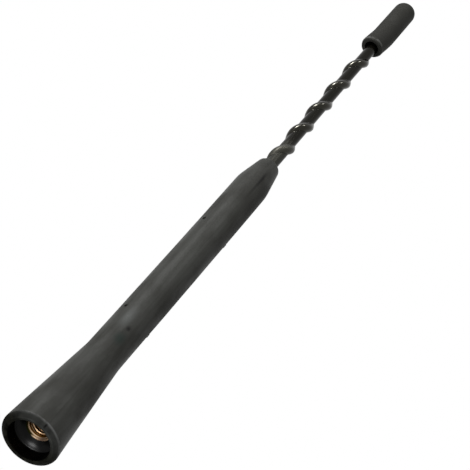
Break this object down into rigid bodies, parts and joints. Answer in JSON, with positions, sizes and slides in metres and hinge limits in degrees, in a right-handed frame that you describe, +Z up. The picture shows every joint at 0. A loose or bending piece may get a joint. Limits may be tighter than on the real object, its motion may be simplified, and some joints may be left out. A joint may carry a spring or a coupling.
{
  "type": "car mast aerial",
  "caption": "Screw-on car aerial mast: flared moulded rubber grip with a threaded brass insert in its foot, a spirally ridged sleeved whip and a soft rubber tip cap",
  "frame": {"origin": "Centre of the end ring of the grip's foot, on the mast's axis", "axes": "+Z runs up the mast from the foot to the tip; the grip's mould parts in the YZ plane, with parting lines on -Y and +Y"},
  "size_m": [0.0174, 0.0174, 0.23],
  "materials": {
    "grip_rubber": "satin moulded",
    "insert_brass": "turned",
    "core_fibreglass": "pultruded glass fibre",
    "wire_copper": "drawn copper",
    "sleeve_plastic": "gloss",
    "cap_rubber": "matte"
  },
  "bodies": {
    "root": {"rubber_grip": "grip_rubber", "thread_insert": "insert_brass", "whip_core": "core_fibreglass", "winding_wire": "wire_copper", "whip_sleeve": "sleeve_plastic", "tip_cap": "cap_rubber"}
  },
  "joints": []
}
